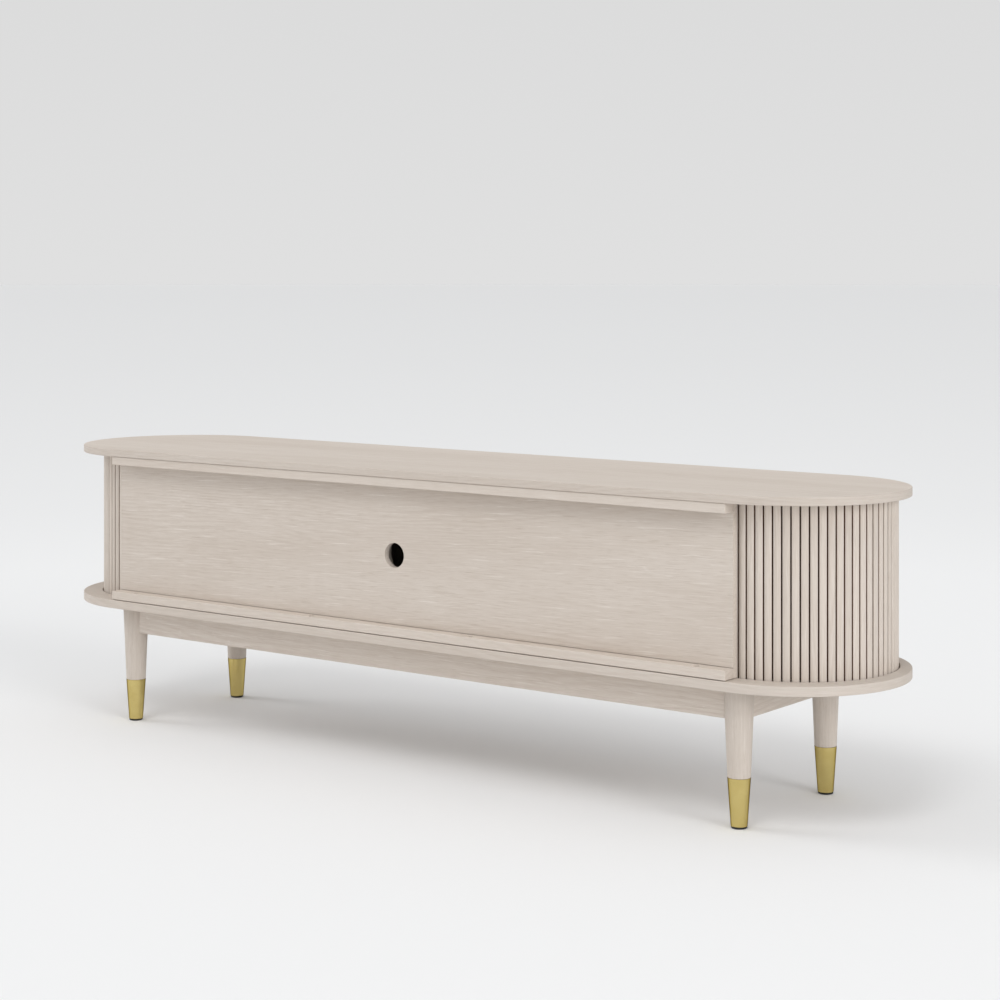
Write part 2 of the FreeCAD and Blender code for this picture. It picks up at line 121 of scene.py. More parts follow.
# ---- node helpers ----------------------------------------------------------
class Nodes:
    """A short way to write a node tree."""

    def __init__(self, tree):
        self.tree = tree

    def add(self, kind, **settings):
        """A new node; the settings are its attributes."""
        node = self.tree.nodes.new(kind)
        for key, value in settings.items():
            setattr(node, key, value)
        return node

    def link(self, source, target):
        """Joins an output socket to an input socket."""
        self.tree.links.new(source, target)

    def put(self, value, socket):
        """Joins an output socket to an input socket, or sets the input to a number or colour."""
        if isinstance(value, bpy.types.NodeSocket):
            self.link(value, socket)
        else:
            socket.default_value = value

    def coordinates(self, kind="Object"):
        """The coordinates of the point that is shaded."""
        return self.add("ShaderNodeTexCoord").outputs[kind]

    def attribute(self, name, output="Fac"):
        """A value stored on the mesh."""
        return self.add("ShaderNodeAttribute", attribute_name=name).outputs[output]

    def vector(self, operation, first, second=None):
        """A vector math node on sockets or vectors."""
        node = self.add("ShaderNodeVectorMath", operation=operation)
        self.put(first, node.inputs[0])
        if second is not None:
            self.put(second, node.inputs[1])
        return node.outputs["Value" if operation in ("DOT_PRODUCT", "LENGTH") else "Vector"]

    def noise(self, vector, scale, detail, roughness):
        """A noise value at a vector."""
        node = self.add("ShaderNodeTexNoise")
        for title, value in (("Vector", vector), ("Scale", scale), ("Detail", detail),
                             ("Roughness", roughness)):
            self.put(value, node.inputs[title])
        return node.outputs["Fac"]

    def math(self, operation, first, second=0.0, third=0.0):
        """A math node on sockets or numbers."""
        node = self.add("ShaderNodeMath", operation=operation)
        for socket, value in zip(node.inputs, (first, second, third)):
            self.put(value, socket)
        return node.outputs[0]

    def spread(self, value, low, high, to_low=0.0, to_high=1.0, shape="SMOOTHSTEP"):
        """Maps a range of a value to another, with ends held."""
        node = self.add("ShaderNodeMapRange", interpolation_type=shape)
        for title, number in (("Value", value), ("From Min", low), ("From Max", high),
                              ("To Min", to_low), ("To Max", to_high)):
            self.put(number, node.inputs[title])
        return node.outputs["Result"]

    def mix(self, factor, first, second, blend="MIX", kind="RGBA"):
        """A mix of colours, or of numbers where kind is FLOAT."""
        node = self.add("ShaderNodeMix", data_type=kind, blend_type=blend)
        values = {"Factor": factor, "A": first, "B": second}
        for socket in node.inputs:
            if socket.enabled and socket.name in values:
                self.put(values[socket.name], socket)
        return [out for out in node.outputs if out.enabled][0]

    def ramp(self, value, stops):
        """A colour ramp from (position, colour) stops."""
        node = self.add("ShaderNodeValToRGB")
        elements = node.color_ramp.elements
        while len(elements) < len(stops):
            elements.new(0.5)
        for element, (position, colour) in zip(elements, stops):
            element.position = position
            element.color = (*colour, 1.0)
        self.link(value, node.inputs["Fac"])
        return node.outputs["Color"]


class Shader(Nodes):
    """A material's node tree, with the sockets of its shader."""

    def __init__(self, name):
        self.material = bpy.data.materials.new(name)
        self.material.use_nodes = True
        super().__init__(self.material.node_tree)
        self.sockets = self.tree.nodes["Principled BSDF"].inputs

    def set(self, **values):
        """Gives shader sockets a number, a colour or a link; _ stands for a space."""
        for title, value in values.items():
            self.put(value, self.sockets[title.replace("_", " ")])

    def bump(self, height, strength, distance):
        """A bump from a height value, joined to the shader."""
        node = self.add("ShaderNodeBump")
        node.inputs["Strength"].default_value = strength
        node.inputs["Distance"].default_value = distance
        self.link(height, node.inputs["Height"])
        self.link(node.outputs["Normal"], self.sockets["Normal"])

    def cloud(self, scale, detail, roughness=0.5, stretch=(1, 1, 1), shift=(0, 0, 0)):
        """A noise over the object, drawn out by stretch."""
        node = self.add("ShaderNodeMapping")
        node.inputs["Scale"].default_value = stretch
        node.inputs["Location"].default_value = shift
        self.link(self.coordinates(), node.inputs["Vector"])
        return self.noise(node.outputs["Vector"], scale, detail, roughness)


def srgb(red, green, blue):
    """A linear colour from 0-255 display values."""
    out = []
    for value in (red, green, blue):
        share = value / 255
        out.append(share / 12.92 if share <= 0.04045 else ((share + 0.055) / 1.055) ** 2.4)
    return tuple(out)


# ---- materials -------------------------------------------------------------
OAK_LIGHT = srgb(224, 216, 208)
OAK_MAIN = srgb(211, 201, 191)
OAK_SHADE = srgb(190, 176, 163)
OAK_DEEP = srgb(164, 147, 131)
# Painted shade: dark brown for the slats' sides, deep in the gaps between slats.
OAK_GAP_SHADE = srgb(112, 78, 54)
GRAIN = {"x": (1, 0, 0), "y": (0, 1, 0), "z": (0, 0, 1)}

# Scale per metre along and across the grain, detail and roughness of each noise in the oak.
SWAY = (1.1, 5.0, 2.0, 0.5)
WANDER = (5.0, 30.0, 3.0, 0.55)
RING_ZONE = (1.6, 9.0, 2.0, 0.5)
DRIFT = (2.0, 14.0, 3.0, 0.5)
FIBRE = (22.0, 800.0, 3.0, 0.65)
PALE_STREAK = (13.0, 330.0, 4.0, 0.6)
DARK_STREAK = (20.0, 420.0, 4.0, 0.6)
FLECK = (55.0, 190.0, 2.0, 0.5)
PORE = (30.0, 1500.0, 1.0, 0.5)

RING_PITCH = 8.5 * MM
SWAY_REACH = 160 * MM
WANDER_REACH = 10 * MM
SLAT_JUMP = (3.0, 5.0, 7.0)
SLAT_DARKEST, SLAT_PALEST = 0.94, 1.03


def oak_spot(s, shift, tilt, run, tone):
    """The point of the wood that is shaded, as a vector in metres."""
    turned = s.add("ShaderNodeMapping")
    turned.inputs["Location"].default_value = shift
    turned.inputs["Rotation"].default_value = tilt
    s.link(s.attribute(run, "Vector") if run else s.coordinates(), turned.inputs["Vector"])
    if tone is None:
        return turned.outputs["Vector"]
    jump = s.add("ShaderNodeVectorMath", operation="SCALE")
    jump.inputs[0].default_value = SLAT_JUMP
    s.link(tone, jump.inputs["Scale"])
    return s.vector("ADD", turned.outputs["Vector"], jump.outputs["Vector"])


def oak(name, grain, shift=(0.0, 0.0, 0.0), tilt=(0.0, 0.0, 0.0), ring_across=(0.0, 0.6, 1.0),
        toned=False, figure=1.0, lift=1.0, run=None):
    """Limed oak: rings, long pale and dark streaks, ray flecks and pores.

    grain is the axis that the wood runs along, shift and tilt move the figure, and ring_across is
    the direction from ring to ring. figure scales how strongly rings, streaks, flecks and pores
    show, and lift scales the palette, which paints light and shade into a copy: a lit face gets a
    higher lift, a shaded one a lower. run names a mesh attribute that takes the place of the
    object's coordinates. toned gives each slat its own tone and figure, and painted shade on its
    sides, deep in the gaps between slats.
    """
    s = Shader(name)
    tone = s.attribute("slat_tone") if toned else None
    spot = oak_spot(s, shift, tilt, run, tone)

    def streaks(along, across, detail, roughness):
        """Noise drawn out along the grain."""
        scales = tuple(along if part else across for part in GRAIN[grain])
        return s.noise(s.vector("MULTIPLY", spot, scales), 1.0, detail, roughness)

    depth = s.vector("DOT_PRODUCT", spot, ring_across)
    depth = s.math("MULTIPLY_ADD", streaks(*SWAY), SWAY_REACH, depth)
    depth = s.math("MULTIPLY_ADD", streaks(*WANDER), WANDER_REACH, depth)
    ring = s.spread(s.math("SINE", s.math("MULTIPLY", depth, 2 * math.pi / RING_PITCH)), -0.6, 1.0)
    ring = s.math("MULTIPLY", ring, s.spread(streaks(*RING_ZONE), 0.35, 0.65))
    drift = streaks(*DRIFT)
    fibre = streaks(*FIBRE)
    pale = s.spread(streaks(*PALE_STREAK), 0.55, 0.76)
    dark = s.spread(streaks(*DARK_STREAK), 0.55, 0.76)
    fleck = s.spread(streaks(*FLECK), 0.62, 0.76)
    fleck = s.math("MULTIPLY", fleck, s.spread(drift, 0.5, 0.7))
    pore = s.spread(streaks(*PORE), 0.62, 0.74)

    palette = (OAK_LIGHT, OAK_MAIN, OAK_SHADE)
    light, main, shaded = ([part * lift for part in tint] for tint in palette)
    colour = s.ramp(drift, [(0.25, shaded), (0.5, main), (0.75, light)])
    colour = s.mix(0.75, colour, (*main, 1))
    layers = [
        (ring, 0.26, shaded),
        (s.spread(fibre, 0.35, 0.75), 0.36, shaded),
        (pale, 0.70, light),
        (dark, 0.55, shaded),
        (fleck, 0.40, light),
        (pore, 0.30, OAK_DEEP),
    ]
    for amount, strength, layer in layers:
        colour = s.mix(s.math("MULTIPLY", amount, strength * figure), colour, (*layer, 1))
    if toned:
        shares = s.ramp(tone, [(0.0, (SLAT_DARKEST,) * 3), (1.0, (SLAT_PALEST,) * 3)])
        colour = s.mix(1.0, colour, shares, "MULTIPLY")
        # Painted shade: the slats' sides, deep in the gaps, are painted dark brown.
        colour = s.mix(s.attribute("slat_side"), colour, (*OAK_GAP_SHADE, 1))
    s.set(Base_Color=colour, Roughness=s.spread(fibre, 0.3, 0.75, 0.50, 0.62), Specular_IOR_Level=0.35)
    height = s.math("SUBTRACT", s.math("MULTIPLY", fibre, 0.5), s.math("MULTIPLY", pore, 0.6))
    s.bump(height, 0.3, 0.3 * MM)
    return s.material


def brass():
    """Satin brass with faint upright brushing and a soft cloud of tone."""
    s = Shader("satin_brass")
    lines = s.cloud(1.0, 3.0, 0.6, stretch=(900, 900, 6))
    cloud = s.cloud(45.0, 3.0, shift=(2, 4, 1))
    s.set(Base_Color=s.ramp(cloud, [(0.3, srgb(206, 186, 119)), (0.7, srgb(215, 197, 131))]),
          Metallic=1.0, Specular_Tint=(0.12, 0.07, 0.01, 1.0),
          Roughness=s.spread(lines, 0.3, 0.7, 0.16, 0.24))
    s.bump(lines, 0.06, 0.1 * MM)
    return s.material


def steel():
    """Zinc-plated fasteners."""
    s = Shader("zinc_steel")
    cloud = s.cloud(300.0, 3.0)
    s.set(Base_Color=s.ramp(cloud, [(0.3, srgb(150, 152, 155)), (0.7, srgb(176, 178, 180))]),
          Metallic=1.0, Roughness=s.spread(cloud, 0.3, 0.7, 0.32, 0.45))
    return s.material


def plain(name, texture, low, high, roughness, strength, distance):
    """A dull material whose tone goes from low to high with a noise, which also is its bump."""
    s = Shader(name)
    value = s.cloud(*texture)
    s.set(Base_Color=s.ramp(value, [(0.3, srgb(*low)), (0.7, srgb(*high))]), Roughness=roughness)
    s.bump(value, strength, distance)
    return s.material


# The lifts paint light and shade into these copies of one oak: the top board's face is painted lighter,
# its rims, the base board, legs and rear panel darker, and the oak_grain_x and oak_grain_y pieces a
# little lighter, after how light falls on them.
OAK_X = oak("oak_grain_x", "x", figure=1.3, lift=1.05)
OAK_Y = oak("oak_grain_y", "y", ring_across=(0.6, 0.0, 1.0), figure=1.3, lift=1.05)
OAK_Z = oak("oak_grain_z", "z", ring_across=(1.0, 0.8, 0.0))
OAK_TOP = oak("oak_top", "x", (0.4, 2.3, 1.0), ring_across=(0.0, 0.5, 0.5), figure=0.7, lift=1.12)
OAK_EDGE = oak("oak_edge", "x", (1.4, 0.3, 2.0), ring_across=(0.0, 0.0, 1.0), lift=0.93,
               run="edge_run")
OAK_BATTEN = oak("oak_batten", "x", (0.7, 3.1, 2.2), ring_across=(0.0, 0.2, 1.0))
OAK_BASE = oak("oak_base", "x", (2.6, 0.9, 1.0), ring_across=(0.0, 0.5, 0.5), figure=0.8, lift=0.95)
OAK_LEG = oak("oak_leg", "z", ring_across=(1.0, 0.8, 0.0), figure=0.8, lift=0.93)
OAK_PANEL = oak("oak_panel", "x", (1.9, 0.2, 4.0), (0.0, math.radians(-2), 0.0), figure=1.25,
                lift=0.97)
OAK_SLAT = oak("oak_slats", "z", (0.2, 0.9, 0.1), ring_across=(1.0, 0.8, 0.0), toned=True)
BRASS = brass()
STEEL = steel()
NYLON = plain("black_nylon", (900.0, 2.0), (20, 19, 18), (30, 29, 28), 0.6, 0.2, 0.2 * MM)
# The canvas behind the slats is coloured dark brown: partly its own colour, partly painted shade for
# the deep gaps between slats.
CANVAS_AND_GAP_SHADE = plain("dark_canvas", (1400.0, 2.0), (44, 27, 17), (62, 40, 27), 0.9, 0.4, 0.3 * MM)
BEECH = plain("beech_dowel", (700.0, 3.0, 0.5, (1, 1, 0.05)), (196, 160, 118), (214, 182, 142),
              0.6, 0.2, 0.2 * MM)


# ---- mesh helpers ----------------------------------------------------------
def in_scene(name, data):
    """A new object in the scene."""
    new = bpy.data.objects.new(name, data)
    bpy.context.scene.collection.objects.link(new)
    return new


def paint(mesh, material):
    """Gives a mesh one material."""
    mesh.materials.clear()
    mesh.materials.append(material)


def finish_piece(name, mesh, material, body, nodes):
    """A finished mesh as a piece that rides on a body and stands for CAD nodes."""
    piece = in_scene(name, mesh)
    paint(mesh, material)
    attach(piece, body)
    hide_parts(*nodes)
    return piece


def shade(mesh, sharp_degrees):
    """Smooth shading, with edges steeper than an angle kept sharp."""
    mesh.shade_smooth()
    mesh.set_sharp_from_angle(angle=math.radians(sharp_degrees))
    return mesh


def fill_mesh(mesh, work, sharp_degrees):
    """Writes a bmesh into a mesh, with its normals outward, and shades it."""
    bmesh.ops.recalc_face_normals(work, faces=work.faces)
    work.to_mesh(mesh)
    work.free()
    return shade(mesh, sharp_degrees)


def mesh_from(name, points, faces, sharp_degrees=35):
    """A mesh from points and faces."""
    mesh = bpy.data.meshes.new(name)
    mesh.from_pydata([tuple(p) for p in points], [], faces)
    mesh.validate()
    work = bmesh.new()
    work.from_mesh(mesh)
    return fill_mesh(mesh, work, sharp_degrees)


def rounded_box(name, low, high, radius):
    """A block with rounded edges."""
    work = bmesh.new()
    bmesh.ops.create_cube(work, size=1.0)
    size = Vector(high) - Vector(low)
    middle = (Vector(high) + Vector(low)) / 2
    for vertex in work.verts:
        vertex.co = Vector([c * s for c, s in zip(vertex.co, size)]) + middle
    bmesh.ops.bevel(work, geom=list(work.edges), offset=radius, segments=3, profile=0.5, affect="EDGES")
    return fill_mesh(bpy.data.meshes.new(name), work, 50)


def weighted(piece):
    """Keeps flat faces flat in shading beside rounded edges."""
    modifier = piece.modifiers.new("weighted", "WEIGHTED_NORMAL")
    modifier.keep_sharp = True
    modifier.weight = 100


def racetrack(radius, centre_y, z, steps=72):
    """Points round a racetrack outline, anticlockwise from the front right."""
    points = []
    for side in (1, -1):
        for i in range(steps + 1):
            angle = math.pi * i / steps - math.pi / 2
            x = side * (half_straight + radius * math.cos(angle))
            y = centre_y + side * radius * math.sin(angle)
            points.append(Vector((x, y, z)))
    return points


def loft(rings):
    """Points and faces that join equal rings of points, with the end rings filled."""
    points = [point for ring in rings for point in ring]
    count = len(rings[0])
    faces = []
    for level in range(len(rings) - 1):
        a, b = level * count, (level + 1) * count
        for i in range(count):
            j = (i + 1) % count
            faces.append((a + i, a + j, b + j, b + i))
    last = (len(rings) - 1) * count
    faces.append(tuple(range(count)))
    faces.append(tuple(reversed(range(last, last + count))))
    return points, faces


def quarter(radius, steps=4):
    """(inset, rise) pairs round a quarter circle, from the flat side to the wall."""
    pairs = []
    for i in range(steps + 1):
        angle = math.pi / 2 * i / steps
        pairs.append((radius * (1 - math.sin(angle)), radius * (1 - math.cos(angle))))
    return pairs


def cut_away(mesh, bores, slits):
    """The mesh less upright bores (x, y, radius, low z, high z) and slits (low, high corner)."""
    work = bmesh.new()
    for x, y, radius, low_z, high_z in bores:
        matrix = Matrix.Translation((x, y, (low_z + high_z) / 2))
        bmesh.ops.create_cone(work, cap_ends=True, segments=32, radius1=radius, radius2=radius,
                              depth=high_z - low_z, matrix=matrix)
    for low, high in slits:
        matrix = Matrix.Translation((low + high) / 2) @ Matrix.Diagonal((*(high - low), 1))
        bmesh.ops.create_cube(work, size=1.0, matrix=matrix)
    cutter_mesh = bpy.data.meshes.new("cutter")
    work.to_mesh(cutter_mesh)
    work.free()
    holder = in_scene(mesh.name, mesh)
    cutter = in_scene("cutter", cutter_mesh)
    cut = holder.modifiers.new("cut", "BOOLEAN")
    cut.operation = "DIFFERENCE"
    cut.solver = "EXACT"
    cut.object = cutter
    graph = bpy.context.evaluated_depsgraph_get()
    result = bpy.data.meshes.new_from_object(holder.evaluated_get(graph))
    for helper in (holder, cutter):
        bpy.data.objects.remove(helper)
    return shade(result, 50)


# ---- boards ----------------------------------------------------------------
def rim_grain(mesh, points, ring, rim_points):
    """Gives the rim of a board its own oak, whose grain runs round it."""
    mesh.materials.append(OAK_EDGE)
    lengths = [0.0]
    for first, second in zip(ring, ring[1:]):
        lengths.append(lengths[-1] + (second - first).length)
    run = mesh.attributes.new("edge_run", "FLOAT_VECTOR", "POINT")
    for i, point in enumerate(points):
        run.data[i].vector = (lengths[i % len(ring)], 0.0, point.z)
    flat = 0.85
    for face in mesh.polygons:
        if max(face.vertices) < rim_points and abs(face.normal.z) < flat:
            face.material_index = 1


def board(name, title, low_z, high_z, groove_up, material):
    """A racetrack board with rounded edges and the door groove in one face."""
    face_z, back_z = (high_z, low_z) if groove_up else (low_z, high_z)
    sign = 1 if groove_up else -1
    floor_z = face_z - sign * groove_depth
    edge = quarter(board_round)
    rings = [racetrack(edge_radius - inset, 0, back_z + sign * rise) for inset, rise in edge]
    rings += [racetrack(edge_radius - inset, 0, face_z - sign * rise) for inset, rise in reversed(edge)]
    rim_points = len(rings) * len(rings[0])
    for radius, z in ((groove_outer + groove_soft, face_z),
                      (groove_outer, face_z - sign * groove_soft),
                      (groove_outer, floor_z),
                      (groove_inner, floor_z),
                      (groove_inner, face_z - sign * groove_soft),
                      (groove_inner - groove_soft, face_z)):
        rings.append(racetrack(radius, curtain_y, z))
    points, faces = loft(rings)
    mesh = mesh_from(name, points, faces)
    weighted(finish_piece(title, mesh, material, "cabinet", [name]))
    rim_grain(mesh, points, rings[0], rim_points)


def closed_line(curve, points):
    """Adds a closed line of straight runs to a flat curve."""
    line = curve.splines.new("POLY")
    line.points.add(len(points) - 1)
    for point, (x, z) in zip(line.points, points):
        point.co = (x, z, 0, 1)
    line.use_cyclic_u = True


def rear_panel():
    """The rear panel with softened edges, its round cable hole and the slit over the bottom batten."""
    middle = (panel_low + panel_high) / 2
    hole_z = (base_high.z + top_low.z) / 2
    half_x = (panel_high.x - panel_low.x) / 2 - panel_soft
    low, high = panel_low.z + panel_soft - hole_z, panel_high.z - panel_soft - hole_z
    curve = bpy.data.curves.new("rear_panel_outline", "CURVE")
    curve.dimensions = "2D"
    curve.fill_mode = "BOTH"
    closed_line(curve, [(-half_x, low), (half_x, low), (half_x, high), (-half_x, high)])
    steps = 96
    turns = [2 * math.pi * i / steps for i in range(steps)]
    radius = hole_radius + panel_soft
    closed_line(curve, [(radius * math.cos(turn), radius * math.sin(turn)) for turn in turns])
    curve.extrude = (panel_high.y - panel_low.y) / 2 - panel_soft
    curve.bevel_depth = panel_soft
    curve.bevel_resolution = 2
    holder = bpy.data.objects.new("rear_panel_curve", curve)
    mesh = bpy.data.meshes.new_from_object(holder)
    bpy.data.objects.remove(holder)
    for vertex in mesh.vertices:
        x, z, y = vertex.co
        vertex.co = (x, middle.y - y, hole_z + z)
    work = bmesh.new()
    work.from_mesh(mesh)
    bmesh.ops.remove_doubles(work, verts=work.verts, dist=0.001 * MM)
    fill_mesh(mesh, work, 50)
    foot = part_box("rear_bottom_batten")[1].z
    slit = (Vector((panel_low.x - MM, panel_high.y - slit_depth, foot)),
            Vector((panel_high.x + MM, panel_high.y + MM, foot + slit_height)))
    mesh = cut_away(mesh, [], [slit])
    weighted(finish_piece("rear_panel_board", mesh, OAK_PANEL, "cabinet", ["rear_panel"]))


def battens():
    """The two battens across the rear panel, with softened edges and bored for their screws."""
    screw_y = panel_high.y + batten_screw_inset
    for level in ("top", "bottom"):
        node = "rear_" + level + "_batten"
        low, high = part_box(node)
        if level == "top":
            bore = (batten_bore, low.z - MM, low.z + batten_recess)
        else:
            bore = (batten_bore, high.z - batten_recess, high.z + MM)
        bores = [(side * x, screw_y, *bore) for side in SIDES.values() for x in batten_screw_x]
        mesh = cut_away(rounded_box(node, low, high, batten_round), bores, [])
        weighted(finish_piece(level + "_batten_strip", mesh, OAK_BATTEN, "cabinet", [node]))


# ---- tambour ---------------------------------------------------------------
def slat_outline():
    """Half-rounded section of a slat: x across, y outward from its flat back."""
    half = slat_width / 2
    crown = slat_depth - slat_shoulder
    radius = (half * half + crown * crown) / (2 * crown)
    turn = slat_corner / radius
    limit = math.asin(half / radius) - turn
    side = [(-half + slat_back_soft, 0), (-half, slat_back_soft), (-half, slat_shoulder - slat_corner)]
    corner_steps, crown_steps = 4, 10
    for i in range(1, corner_steps):
        share = i / corner_steps
        side.append((-half + slat_corner * share * share,
                     slat_shoulder - slat_corner * (1 - share) ** 2 + crown * turn * share))
    top = []
    for i in range(crown_steps + 1):
        angle = -limit + 2 * limit * i / crown_steps
        top.append((radius * math.sin(angle), slat_depth - radius * (1 - math.cos(angle))))
    return side + top + [(-x, y) for x, y in reversed(side)]


def slats(name, frames, body, node):
    """One mesh of many slats; each frame gives the slat's origin, across and outward ways."""
    outline = slat_outline()
    low_z, high_z = curtain_low.z, curtain_high.z
    levels = [low_z, low_z + slat_end_band, high_z - slat_end_band, high_z]
    # Painted shade: points low on a slat's sides, deep in the gaps, are marked to be painted dark.
    gap_shade_height = slat_shoulder - slat_corner + 0.01 * MM
    gap_shade = [1.0 if y < gap_shade_height else 0.0 for x, y in outline]
    points, faces, tones, gap_shades = [], [], [], []
    chance = random.Random(name)
    for origin, across, outward in frames:
        tone = chance.random()
        rings = [[origin + across * x + outward * y + Vector((0, 0, z)) for x, y in outline]
                 for z in levels]
        more, more_faces = loft(rings)
        start = len(points)
        points += more
        faces += [tuple(start + i for i in face) for face in more_faces]
        tones += [tone] * len(more)
        gap_shades += gap_shade * len(levels)
    mesh = mesh_from(name, points, faces, 40)
    for title, values in (("slat_tone", tones), ("slat_side", gap_shades)):
        mesh.attributes.new(title, "FLOAT", "POINT").data.foreach_set("value", values)
    return finish_piece(name, mesh, OAK_SLAT, body, [node])


def end_frames(side):
    """Where the slats stand round one end, and the tail slat behind the rear panel's end."""
    frames = []
    pitch = math.pi * canvas_radius / slat_count
    tail_x = curtain_low.x + slat_width / 2
    turn = (half_straight - tail_x - pitch / 2) / canvas_radius
    centre = Vector((side * half_straight, curtain_y, 0))
    for i in range(slat_count):
        angle = (i + 0.5) * math.pi / slat_count - math.pi / 2
        angle += turn * min(1.0, i / (slat_count / 4))
        outward = Vector((side * math.cos(angle), math.sin(angle), 0))
        across = Vector((-outward.y, outward.x, 0))
        frames.append((centre + outward * canvas_radius, across, outward))
    tail = Vector((side * tail_x, curtain_y + canvas_radius, 0))
    frames.append((tail, Vector((-1, 0, 0)), Vector((0, 1, 0))))
    return frames


def front_frames(side):
    """Where the straight run of slats stands, from the lead stile to the round end."""
    frames = []
    pitch = straight_run / front_count
    for i in range(front_count):
        x = side * (stile_edge + (i + 0.5) * pitch)
        origin = Vector((x, curtain_y - canvas_radius, 0))
        frames.append((origin, Vector((1, 0, 0)), Vector((0, -1, 0))))
    return frames


def canvas_strip(name, side_name, path, body, node):
    """A stretched sheet of canvas behind the slats; path gives its outer points and inward ways."""
    cloth_low, cloth_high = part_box(node)
    straight_low, straight_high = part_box(side_name + "_front_canvas")
    thickness = straight_high.y - straight_low.y
    outer = [point for point, inward in path]
    inner = [point + inward * thickness for point, inward in path]
    corners = [(outer, cloth_low.z), (outer, cloth_high.z), (inner, cloth_high.z), (inner, cloth_low.z)]
    points = [Vector((p.x, p.y, z)) for line, z in corners for p in line]
    count = len(path)
    faces = []
    for row in range(4):
        a, b = row * count, (row + 1) % 4 * count
        faces += [(a + i, a + i + 1, b + i + 1, b + i) for i in range(count - 1)]
    faces.append(tuple(row * count for row in range(4)))
    faces.append(tuple(row * count + count - 1 for row in (3, 2, 1, 0)))
    cloth = finish_piece(name, mesh_from(name, points, faces), CANVAS_AND_GAP_SHADE, body, [node])
    return cloth


def end_canvas_path(side):
    """Round the end, from the front to the tail slat behind the rear panel's end."""
    steps = 60
    centre = Vector((side * half_straight, curtain_y, 0))
    path = []
    for i in range(steps + 1):
        angle = math.pi * i / steps - math.pi / 2
        outward = Vector((side * math.cos(angle), math.sin(angle), 0))
        path.append((centre + outward * canvas_outer, -outward))
    path.append((Vector((side * canvas_low.x, curtain_y + canvas_outer, 0)), Vector((0, -1, 0))))
    return path


def front_canvas_path(side):
    """Straight from the lead stile to the round end."""
    steps = 12
    path = []
    for i in range(steps + 1):
        x = side * (stile_edge + straight_run * i / steps)
        path.append((Vector((x, curtain_y - canvas_outer, 0)), Vector((0, 1, 0))))
    return path


def build_tambour():
    """Slats and canvas of both round ends and both doors; each door's slats and canvas get a mesh of
    their own.
    """
    for side_name, side in SIDES.items():
        bend = slats(side_name + "_round_slats", end_frames(side), "cabinet", side_name + "_end_slats")
        canvas_strip(side_name + "_round_canvas", side_name, end_canvas_path(side), "cabinet",
                     side_name + "_end_canvas")
        door = side_name + "_door"
        run = slats(door + "_slats", front_frames(side), door, side_name + "_front_slats")
        cloth = canvas_strip(door + "_canvas", side_name, front_canvas_path(side), door,
                             side_name + "_front_canvas")
        for piece in (run, cloth):
            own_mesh(piece)


# ---- turned parts ----------------------------------------------------------
def lathe(name, profile, centre, material, node):
    """A turned piece from its (radius, height) profile."""
    count = 64
    turns = [2 * math.pi * i / count for i in range(count)]
    rings = [[Vector((centre.x + radius * math.cos(turn), centre.y + radius * math.sin(turn), z))
              for turn in turns] for radius, z in profile]
    points, faces = loft(rings)
    finish_piece(name, mesh_from(name, points, faces, 30), material, "cabinet", [node])


def cone(low, high, steps=4, support=0.8 * MM):
    """(radius, height) points up a cone, with a support ring close to each end."""
    (low_radius, low_z), (high_radius, high_z) = low, high
    near = support / (high_z - low_z)
    shares = [0, near] + [i / steps for i in range(1, steps)] + [1 - near, 1]
    return [(low_radius + (high_radius - low_radius) * share, low_z + (high_z - low_z) * share)
            for share in shares]


def build_legs():
    """Legs, brass ferrules and glides as turned pieces."""
    for corner in CORNERS:
        leg_low, leg_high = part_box("leg_" + corner)
        cup_low, cup_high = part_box("ferrule_" + corner)
        pad_low, pad_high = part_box("glide_" + corner)
        centre = (leg_low + leg_high) / 2
        top_radius = (leg_high.x - leg_low.x) / 2
        cup_radius = (cup_high.x - cup_low.x) / 2
        pad_radius = (pad_high.x - pad_low.x) / 2
        wood_radius = cup_radius - joint_step
        wood_z = cup_high.z + joint_step
        wood = [(foot_radius - tenon_inset, leg_low.z),
                (cup_radius - tenon_inset, wood_z - 2 * joint_step),
                (wood_radius - wood_soft, wood_z)]
        wood += cone((wood_radius, wood_z + wood_soft), (top_radius, leg_high.z))
        lathe("turned_leg_" + corner, wood, centre, OAK_LEG, "leg_" + corner)
        cup = [(foot_radius - brass_floor, cup_low.z), (foot_radius - brass_rim, cup_low.z)]
        cup += cone((foot_radius, cup_low.z + brass_rim), (cup_radius, cup_high.z - brass_rim))
        cup += [(cup_radius - brass_rim, cup_high.z), (cup_radius - brass_wall, cup_high.z)]
        lathe("brass_cup_" + corner, cup, centre, BRASS, "ferrule_" + corner)
        pad = [(pad_radius - inset, pad_low.z + rise) for inset, rise in glide_foot]
        pad += [(pad_radius - inset, pad_high.z - fall) for inset, fall in glide_top]
        lathe("pad_" + corner, pad, centre, NYLON, "glide_" + corner)


# ---- carried-over CAD nodes ------------------------------------------------
def paint_all():
    """Every CAD node that stays gets its material."""
    materials = {
        "front_apron": OAK_X, "rear_apron": OAK_X, "false_back": OAK_X, "partition_dowels": BEECH,
    }
    for side_name in SIDES:
        for part in ("end_partition", "divider", "lead_stile"):
            materials[side_name + "_" + part] = OAK_Z
        materials[side_name + "_shelf"] = OAK_X
        materials[side_name + "_apron"] = OAK_Y
    for corner in CORNERS:
        materials["corner_block_" + corner] = OAK_X
    for node in ("shelf_pins", "glide_nails", "hanger_bolts", "bolt_washers", "bolt_nuts",
                 "partition_screws", "false_back_screws", "panel_screws", "batten_screws",
                 "corner_block_screws"):
        materials[node] = STEEL
    for node, material in materials.items():
        paint(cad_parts[node].data, material)


